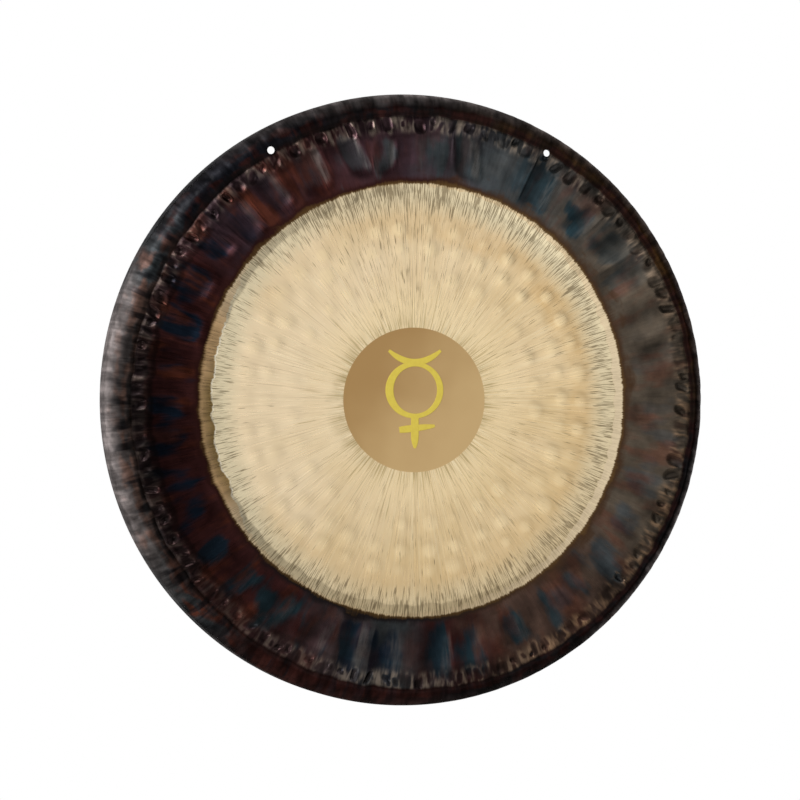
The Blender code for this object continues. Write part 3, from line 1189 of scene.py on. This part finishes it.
        # The rim is darker, with maroon patches towards the crease
        patch = grain(26.0 * MM, 14.0 * MM, self.mid_rim, 2.0, 19.0)
        inner = add(Node.RANGE, polar.ring, section.outer_radius, section.shoulder_radius, -0.25, 0.0)
        patch = add(Node.RANGE, add(Math.PLUS, patch, inner), 0.34, 0.50, 0.0, 0.85)
        rim = laid(by_clock(self.rim, 0.05, 4.0), (by_clock(self.crusts, 0.02, 33.0), patch))
        back = add(Node.SPLIT, polar.point, output="Y")
        block = add(Node.SMOOTH, grain(12.0 * MM, 60.0 * MM, self.mid_rim, 2.0, 71.0), 0.50, 0.64, 0.0, 0.9)
        creases = by_clock(self.creases, 0.02, 16.0)
        rim = laid(rim, (Heat.INK.value, block, add(Node.RANGE, back, 0.052, 0.036), creases))
        # A painted sheen lightens the rim's wall towards its edge
        wall = add(Node.RANGE, back, 0.0295, 0.043)
        rim = laid(rim, (self.rubbed_edge, wall, by_clock(self.edges, 0.01, 45.0)))
        slight = add(Node.MIX, 0.3, polar.ring, uneven)
        edge = section.shoulder_radius
        on_rim = add(Node.RANGE, slight, edge - 3.0 * MM, edge)
        # Painted shade darkens the crease, broken in places
        crease = add(Math.SIZE, add(Math.MINUS, slight, edge + 0.5 * MM))
        crease = add(Node.SMOOTH, crease, 6.0 * MM, 1.5 * MM)
        broken = add(Node.RANGE, grain(17.0 * MM, 1.0, edge, 3.0, 67.0), 0.36, 0.60, 0.45, 1.0)
        colour = laid(collar, (rim, on_rim), (self.tarnish, crease, broken, creases))

        # Soot clouds, faint radial streaks, specks and blots on the rim, and painted light and shade
        soot = add(Node.RANGE, add(Node.NOISE, polar.point, 30.0, 4.0), 0.3, 0.7, 0.55, 1.45)
        streak = add(Node.RANGE, grain(6.0 * MM, 0.035, 0.35, 3.0, 17.0), 0.25, 0.75, 0.88, 1.12)
        # Painted light and shade: each flute is lighter on one flank and darker on the other
        turned = add(Node.RANGE, side, -0.20, 0.15, 0.45, 1.25)
        fence = add(Node.MIX, band, 1.0, add(Node.RANGE, fence, 0.36, 0.62, 0.62, 1.28))
        speck = add(Node.RANGE, add(Node.NOISE, polar.point, 110.0, 5.0), 0.35, 0.65, 0.80, 1.20)
        blot = grain(16.0 * MM, 0.050, section.outer_radius, 3.0, 63.0)
        speck = add(Math.TIMES, speck, add(Node.RANGE, blot, 0.36, 0.56, 0.65, 1.1))
        # Painted shade: the rim darkens towards the crease
        low = add(Node.RANGE, back, section.shoulder_depth, 0.045, 0.7, 1.0)
        speck = add(Node.MIX, on_rim, 1.0, add(Math.TIMES, speck, low))
        return polar.shaded(colour, soot, streak, turned, outer, fence, speck)

    def surface(self, tree: bpy.types.NodeTree) -> dict[str, Any]:
        """The front: bright metal inside a wavering, frayed border, and the fire's skin outside."""
        add = partial(add_node, tree)
        polar = Polar.of(tree)
        section = self.section
        border: Socket | float = section.bevel_radius - 2.5 * MM
        for wave, height in (
            (polar.grain(14.0 * MM, 1.0, section.bevel_radius, 2.0, 23.0), 5.0 * MM),
            (polar.grain(1.8 * MM, 1.0, section.bevel_radius, 1.0, 29.0), 4.6 * MM),
            (polar.by_clock(self.strays), 3.4 * MM),
        ):
            border = add(Math.TIMES_PLUS, wave, height, border)
        past = add(Math.MINUS, polar.ring, add(Math.MINUS, border, 3.8 * MM))
        spread = polar.grain(34.0 * MM, 0.020, section.bevel_radius, 3.0, 69.0)
        charred = add(Math.TIMES, past, add(Node.RANGE, spread, 0.30, 0.70, 2.4, 0.6))
        burnt = add(Node.RANGE, charred, 0.0, 7.0 * MM)
        ring = polar.laid(linear(self.burnt_gold), (polar.by_clock(self.burns, 0.03, 18.0), burnt))
        cool = add(Node.SMOOTH, charred, 5.0 * MM, self.burnt_width)
        dark = polar.laid(ring, (self.fired(polar), cool))
        gentle = add(Node.RANGE, polar.by_clock(self.golds), 0.0, 1.0, 1.0, 0.4)
        scraped = add(Node.SMOOTH, add(Math.TIMES, past, gentle), 1.2 * MM, -1.2 * MM)

        fine = polar.grain(2.0 * MM, 30.0 * MM, section.face_radius, 3.0, 31.0)
        dull = add(Node.RANGE, polar.ring, section.collar_radius, section.outer_radius, 0.0, 0.24)
        return {
            "Base Color": polar.laid(dark, (self.scraped(polar), scraped)),
            "Metallic": 1.0,
            "Specular Tint": (self.edge_tint,) * 3 + (1.0,),
            "Coat Weight": self.glaze,
            "Coat Roughness": 0.24,
            "Roughness": add(Math.PLUS, add(Node.RANGE, fine, 0.3, 0.7, 0.25, 0.36), dull),
            "Normal": add(Node.BUMP, 0.12, 0.4 * MM, fine),
        }


@dataclass(frozen=True)
class FiredBack(Finish):
    """The same bronze behind: never scraped, near black with brown clouds, a little duller."""

    clouds: tuple[tuple[float, Heat, float], ...] = (  # noise scale, colour and strength
        (6.0, Heat.UMBER, 0.9),
        (9.0, Heat.MAROON, 0.8),
        (7.5, Heat.SLATE, 0.7),
        (16.0, Heat.COAL, 0.7),
    )
    hammer_size: float = 22.0 * MM
    streak_start: float = 80.0 * MM  # radii between which the scale's streaks come in
    streak_full: float = 240.0 * MM
    streak_at: float = 300.0 * MM  # where their width is measured

    def surface(self, tree: bpy.types.NodeTree) -> dict[str, Any]:
        """Clouds, the round shades of blows from behind, and scale drawn out along the radii."""
        add = partial(add_node, tree)
        polar = Polar.of(tree)
        colour: Socket | Colour = linear(Heat.COAL.value)
        for layer, (scale, cloud, strength) in enumerate(self.clouds, 1):
            puff = add(Node.NOISE, add(Node.MOVED, polar.point, (float(layer),) * 3), scale, 4.0)
            puff = add(Node.SMOOTH, puff, 0.42, 0.62, 0.0, strength)
            colour = polar.laid(colour, (cloud.value, puff))
        blow = add(Node.CELLS, polar.point, 1.0 / self.hammer_size, 0.8)
        blow = add(Node.RANGE, blow, 0.1, 0.7, 1.25, 0.7)
        streak = polar.grain(9.0 * MM, 80.0 * MM, self.streak_at, 4.0, 41.0)
        streak = add(Node.RANGE, streak, 0.25, 0.75, 0.7, 1.3)
        clear = add(Node.SMOOTH, polar.radius, self.streak_start, self.streak_full)
        shade = add(Math.TIMES, blow, add(Node.MIX, clear, 1.0, streak))
        return {
            "Base Color": polar.shaded(colour, shade),
            "Metallic": 1.0,
            "Roughness": add(Node.RANGE, shade, 0.5, 1.5, 0.5, 0.36),
        }


@dataclass(frozen=True)
class TanLacquer(Finish):
    """Nitro lacquer sprayed through a round mask: tan, satin, paler to the lower right."""

    # deep and pale tan, which the cloudy slope blends
    thick: str = "A07C47"
    thin: str = "C2A26E"

    def surface(self, tree: bpy.types.NodeTree) -> dict[str, Any]:
        """Tan that grows paler in a cloudy slope."""
        add = partial(add_node, tree)
        point = add(Node.POINT)
        across = add(Node.DOT, point, (0.8, 0.0, -0.6))
        place = add(Math.TIMES_PLUS, add(Node.NOISE, point, 14.0, 2.0), 0.12, across)
        paler_share = add(Node.SMOOTH, place, -0.03, 0.15)
        colour = add(Node.BLEND, paler_share, linear(self.thick), linear(self.thin))
        return {"Base Color": colour, "Roughness": 0.42}


@dataclass(frozen=True)
class SignPaint(Finish):
    """Yellow enamel laid on with a brush: opaque, satin, with slight drag marks."""

    yellow: str = "DCC74A"
    drag: str = "CDB440"

    def surface(self, tree: bpy.types.NodeTree) -> dict[str, Any]:
        """Yellow with fine uneven drag marks."""
        add = partial(add_node, tree)
        drag = add(Node.NOISE, add(Node.POINT), 160.0, 2.0)
        colour = add(Node.BLEND, drag, linear(self.drag), linear(self.yellow))
        return {"Base Color": colour, "Roughness": 0.45}


@dataclass(frozen=True)
class PaleFloor(Finish):
    """The studio's floor: matt and pale, fading out towards its round edge and from below."""

    radius: float
    colour: str = "E4E2DE"

    def surface(self, tree: bpy.types.NodeTree) -> dict[str, Any]:
        """Pale, and see-through where it ends."""
        add = partial(add_node, tree)
        distance = add(Node.LENGTH, add(Node.FLAT, add(Node.POINT), (1.0, 1.0, 0.0)))
        solid = add(Node.SMOOTH, distance, 0.9, 0.97 * self.radius, 1.0, 0.0)
        solid = add(Math.TIMES, solid, add(Math.MINUS, 1.0, add(Node.FACING)))
        return {"Base Color": linear(self.colour), "Roughness": 0.8, "Alpha": solid}


@dataclass
class CentreSign:
    """The traditional planetary sign on the lacquer: a ring with horns above and a cross below."""

    film_front: float = 0.02 * MM
    film_back: float = 0.32 * MM
    film_step: float = 0.01 * MM  # how much further back each stroke's film starts
    edge_slope: float = 0.09  # how much flatter than round a film's edge is
    middle: float = 1.0 * MM  # the painter's middle, a little right of the gong's
    ring_radius: float = 34.3 * MM
    ring_height: float = 13.0 * MM
    horn_reach: float = 35.0 * MM
    horn_rise: float = 15.5 * MM
    stem_foot: float = -64.0 * MM
    bar_height: float = -37.0 * MM
    bar_reach: float = 24.0 * MM
    bar_shift: float = 3.0 * MM  # the bar was drawn a little to the right, and rising
    bar_rise: float = 2.6 * MM
    stroke: float = 4.4 * MM  # half the brush's width

    def strokes(self) -> list[list[tuple[float, float, float, float]]]:
        """The brush strokes, the closed ring first: x, y, z and half width of each point."""
        ring, horns, stem, bar = [], [], [], []
        for step in range(72):
            turn = math.tau * step / 72
            x = self.middle + self.ring_radius * math.sin(turn)
            z = self.ring_height + self.ring_radius * math.cos(turn)
            width = 0.92 - 0.2 * math.cos(2.0 * turn) - 0.13 * math.sin(turn)
            ring.append((x, 0.0, z, self.stroke * width))
        top = self.ring_height + self.ring_radius + 0.55 * self.stroke
        foot_from = self.ring_height - self.ring_radius
        for step in range(33):
            share = step / 16.0 - 1.0
            width = self.stroke * (0.42 + 0.6 * (1.0 - abs(share) ** 3.0))
            x = self.middle + self.horn_reach * share
            horns.append((x, 0.0, top + self.horn_rise * share**2, width))
        for step in range(17):
            share = step / 16.0
            width = self.stroke * (0.35 + 0.85 * (1.0 - max(0.0, share * 2.5 - 1.5) ** 2))
            stem.append((self.middle, 0.0, foot_from + (self.stem_foot - foot_from) * share, width))
            share = step / 8.0 - 1.0
            width = self.stroke * (1.0 - 0.25 * share - 0.35 * abs(share) ** 3)
            x = self.middle + self.bar_shift + self.bar_reach * share
            bar.append((x, 0.0, self.bar_height + self.bar_rise * share, width))
        return [ring, horns, stem, bar]

    def tree(self) -> tuple[bpy.types.NodeTree, dict[str, str]]:
        """Builds the tree that draws a flat film of paint along a stroke."""
        inputs = {"Geometry": "Geometry", "paint": "Material"} | sizes_of(self)
        wanted = ("Geometry", "paint", "film front", "film back", "edge slope")
        inputs = {name: inputs[name] for name in wanted}
        tree, identifiers, given, result = geometry_tree("brush_stroke", inputs, {"Geometry": "Geometry"})
        add = partial(add_node, tree)
        shape = add(Node.TUBE, given["Geometry"], add(Node.CIRCLE, 16, 1.0), add(Node.WIDTH), True)

        # The round stroke is pressed flat between the film's two faces
        across, depth, up = (add(Node.SPLIT, add(Node.POSITION), output=axis) for axis in ("X", "Y", "Z"))
        half = add(Math.TIMES, add(Math.MINUS, given["film back"], given["film front"]), 0.5)
        middle = add(Math.PLUS, given["film front"], half)
        depth = add(Math.SMALLER, add(Math.TIMES, depth, given["edge slope"]), half)
        depth = add(Math.LARGER, depth, add(Math.TIMES, half, -1.0))
        place = add(Node.JOIN, across, add(Math.PLUS, depth, middle), up)
        shape = add(Node.REALIZE, add(Node.PLACE, shape, place))
        fill(tree, result, {"Geometry": add(Node.PAINT, shape, given["paint"])})
        return tree, identifiers

    def build(self, paint: bpy.types.Material) -> bpy.types.Object:
        """Makes the sign as one film of paint."""
        group, identifiers = self.tree()
        films = []
        for number, points in enumerate(self.strokes()):
            stroke = line_object("stroke", points, closed=number == 0)
            brush = stroke.modifiers.new("brush", "NODES")
            brush.node_group = group
            brush[identifiers["paint"]] = paint
            brush[identifiers["film front"]] = self.film_front + number * self.film_step
            films.append(new_object("film", evaluated_mesh(stroke)))
            bpy.data.curves.remove(stroke.data)
        sign = films[0]
        combine(sign, films[1:], "UNION", "EXACT")
        sign.name = sign.data.name = "centre_sign"
        return sign


@dataclass(frozen=True)
class Glow:
    """A soft patch of the room, light or dark, as the metal mirrors it."""

    turn: float  # degrees round from straight in front, to the right
    rise: float  # degrees up
    core: float  # degrees from its middle to where it starts to fade
    fade: float  # degrees from its middle to where it is gone
    level: float


def outward(turn: float, rise: float) -> Vector:
    """Direction away from the gong, from degrees to the right and up."""
    a, e = math.radians(turn), math.radians(rise)
    return Vector((math.sin(a) * math.cos(e), -math.cos(a) * math.cos(e), math.sin(e)))


@dataclass
class Studio:
    """White backdrop, pale floor, a soft lamp and the camera."""

    view_distance: float = 6.5
    view_turn: float = -12.3  # degrees from straight on, towards the gong's left
    frame_width: float = 1.0562  # what the picture takes in at the gong
    aim: tuple[float, float, float] = (-0.0183, 0.0040, -0.0001)
    sensor: float = 36.0
    floor_height: float = -1.10
    floor_radius: float = 3.2
    open_light: float = 0.54  # level of the light from all round on what isn't metal
    room: float = 0.24  # level of the unlit room, as the metal mirrors it
    glows: tuple[Glow, ...] = (
        Glow(180.0, 0.0, 50.0, 85.0, 0.7),  # wall behind the gong
        Glow(-98.0, 8.0, 25.0, 58.0, 2.0),  # white wall to the left
        Glow(26.0, 4.0, 19.0, 43.0, 1.13),  # large soft box
        Glow(34.0, 26.0, 8.0, 22.0, 1.5),  # its brighter upper corner
        Glow(14.0, -23.0, 6.0, 15.0, 0.4),  # dark floor in front
        Glow(-18.0, -1.0, 8.0, 23.0, 0.12),  # black cloth round the camera
    )

    def camera(self) -> None:
        """Sets up the camera where the picture was taken from."""
        data = bpy.data.cameras.new("camera")
        data.sensor_width = self.sensor
        data.lens = self.sensor * self.view_distance / self.frame_width
        data.clip_end = 50.0
        camera = new_object("camera", data)
        back = outward(self.view_turn, 0.0)
        camera.location = Vector(self.aim) + back * self.view_distance
        camera.rotation_euler = (-back).to_track_quat("-Z", "Y").to_euler()
        bpy.context.scene.camera = camera

    @staticmethod
    def lamp(name: str, turn: float, rise: float, distance: float, size: float, level: float) -> None:
        """Adds a soft square lamp that faces the gong.

        Args:
            name: The lamp's name.
            turn: Degrees round from straight in front, to the right.
            rise: Degrees above the gong.
            distance: How far off it is.
            size: Length of its sides.
            level: How bright its face is, where white paper is 1.
        """
        data = bpy.data.lights.new(name, "AREA")
        data.shape = "SQUARE"
        data.size = size
        data.energy = level * math.pi * size**2
        lamp = new_object(name, data)
        out = outward(turn, rise)
        lamp.location = out * distance
        lamp.rotation_euler = out.to_track_quat("Z", "Y").to_euler()

    def world(self) -> None:
        """A white backdrop for the camera, and a room with soft patches for the metal."""
        world = bpy.data.worlds.new("studio")
        bpy.context.scene.world = world
        world.use_nodes = True
        world.cycles.sampling_method = "NONE"
        tree = world.node_tree
        add = partial(add_node, tree)
        way = add(Node.WAY)
        seen: Socket | float = self.room
        for glow in self.glows:
            angle = add(Math.ARCCOSINE, add(Node.DOT, way, outward(glow.turn, glow.rise)))
            core, fade = math.radians(glow.core), math.radians(glow.fade)
            seen = add(Node.MIX, add(Node.SMOOTH, angle, fade, core), seen, glow.level)
        rays = add(Node.RAYS).node.outputs
        level = add(Node.MIX, rays["Is Glossy Ray"], self.open_light, seen)
        straight = add(Math.LARGER, rays["Is Camera Ray"], rays["Is Transmission Ray"])
        level = add(Node.MIX, straight, level, 1.0)
        fill(tree, tree.nodes["Background"].inputs, {"Color": (1.0,) * 4, "Strength": level})

    def floor(self) -> bpy.types.Object:
        """A round pale floor that fades out into the backdrop."""
        shape = bmesh.new()
        bmesh.ops.create_circle(shape, cap_ends=True, segments=96, radius=self.floor_radius)
        bmesh.ops.translate(shape, verts=shape.verts, vec=(0.0, 0.0, self.floor_height))
        floor = shape_object("studio_floor", shape)
        floor.data.materials.append(PaleFloor("pale_floor", self.floor_radius).material())
        return floor

    def build(self) -> None:
        """Sets up everything that isn't the gong."""
        self.camera()
        self.lamp("upper_lamp", -50.0, 33.0, 3.0, 1.1, 14.0)
        self.lamp("lower_lamp", -50.0, -28.0, 3.0, 0.8, 10.0)
        self.world()
        self.floor()
        bpy.context.scene.view_settings.view_transform = "Standard"


def main() -> None:
    """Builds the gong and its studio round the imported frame."""
    logging.basicConfig(level=logging.INFO, format="%(name)s: %(message)s")
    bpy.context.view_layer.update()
    _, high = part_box("gong_plate")
    section = GongSection(outer_radius=high.x, total_depth=high.y)

    Studio().build()
    LOG.info("studio is set up")

    finishes = {
        "front": FiredBronze("fired_and_scraped_bronze", section).material(),
        "lacquer": TanLacquer("tan_nitro_lacquer").material(),
        "back": FiredBack("fired_bronze_back").material(),
    }
    plate = GongPlate(section).build(finishes)
    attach(plate, "root")
    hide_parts("gong_plate")
    LOG.info("%s has %d faces", plate.name, len(plate.data.polygons))

    sign = CentreSign().build(SignPaint("yellow_brushed_enamel").material())
    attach(sign, "root")
    LOG.info("%s has %d faces", sign.name, len(sign.data.polygons))


if __name__ == "__main__":
    main()
